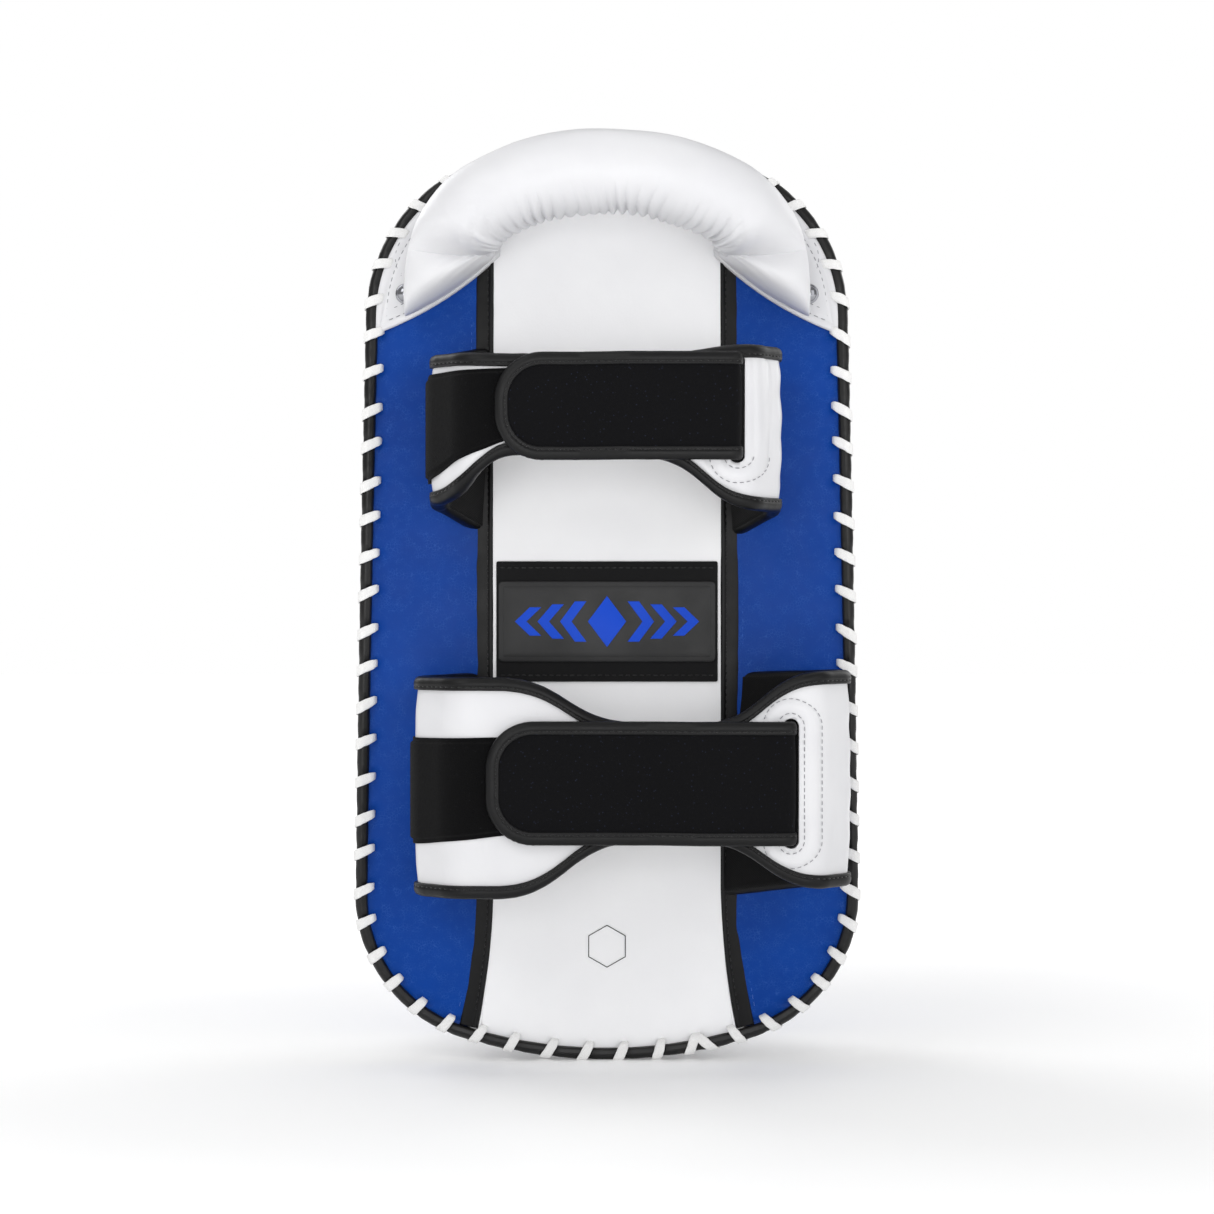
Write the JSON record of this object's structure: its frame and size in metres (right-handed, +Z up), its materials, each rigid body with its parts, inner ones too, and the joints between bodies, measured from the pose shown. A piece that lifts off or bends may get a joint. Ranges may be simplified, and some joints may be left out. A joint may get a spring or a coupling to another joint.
{
  "type": "thai pad",
  "caption": "Curved rectangular kick shield of layered foam in leather, laced round the back edge, with a padded grip roll and cuffs closed by hook straps.",
  "frame": {"origin": "middle of the pad in X and Y, at the lowest point of its lower end, which it stands on", "axes": "+Z up along the forearm, -Y the strap side, +Y the strike face, +X to the right when the straps face the viewer"},
  "size_m": [0.235, 0.1834, 0.4315],
  "materials": {
    "blue_leather": "fine grain, satin",
    "white_leather": "fine grain, satin",
    "printed_leather": "white with small black stars",
    "cuff_leather": "smooth, satin",
    "foam": "closed-cell foam",
    "black_binding": "matte, stitched",
    "patch_fabric": "fine weave",
    "badge_rubber": "matte, raised print",
    "white_lace": "flat woven lace",
    "webbing": "flat webbing",
    "lining": "knitted lining",
    "loop_tape": "velvet pile",
    "hook_tape": "moulded hooks",
    "neoprene": "matte knit",
    "rivet_chrome": "polished dome",
    "rivet_steel": "plain"
  },
  "bodies": {
    "pad": {"back_panel_centre": "white_leather", "back_panel_left": "blue_leather", "back_panel_right": "blue_leather", "binding_left": "black_binding", "binding_right": "black_binding", "edge_lace": "white_lace", "edge_piping": "black_binding", "foam_backing": "foam", "foam_core": "foam", "foam_impact": "foam", "foam_middle": "foam", "grip_strap": "webbing", "label_badge": "badge_rubber", "label_base": "patch_fabric", "lower_cuff_left": "cuff_leather", "lower_cuff_left_binding": "black_binding", "lower_cuff_left_lining": "lining", "lower_cuff_right": "cuff_leather", "lower_cuff_right_binding": "black_binding", "lower_cuff_right_lining": "lining", "lower_loop_tape": "loop_tape", "lower_strap_feed": "webbing", "rivet_caps": "rivet_chrome", "rivet_posts": "rivet_steel", "rivet_washers": "rivet_steel", "roll_core": "foam", "roll_cover": "white_leather", "roll_tab_left": "white_leather", "roll_tab_right": "white_leather", "side_wall_left": "printed_leather", "side_wall_right": "printed_leather", "strike_face": "blue_leather", "upper_cuff_left": "cuff_leather", "upper_cuff_left_binding": "black_binding", "upper_cuff_left_lining": "lining", "upper_cuff_right": "cuff_leather", "upper_cuff_right_binding": "black_binding", "upper_cuff_right_lining": "lining", "upper_loop_tape": "loop_tape", "upper_strap_feed": "webbing"},
    "upper_strap": {"upper_strap_tab": "neoprene", "upper_strap_binding": "black_binding", "upper_hook_tape": "hook_tape"},
    "lower_strap": {"lower_strap_tab": "neoprene", "lower_strap_binding": "black_binding", "lower_hook_tape": "hook_tape"}
  },
  "joints": [
    {"name": "upper_strap_peel", "type": "hinge", "parent": "pad", "child": "upper_strap", "pos_m": [0.058, -0.08959, 0.3025], "axis": [0, 0, 1], "range_deg": [0, 150]},
    {"name": "lower_strap_peel", "type": "hinge", "parent": "pad", "child": "lower_strap", "pos_m": [0.082, -0.08959, 0.134], "axis": [0, 0, 1], "range_deg": [0, 150]}
  ]
}
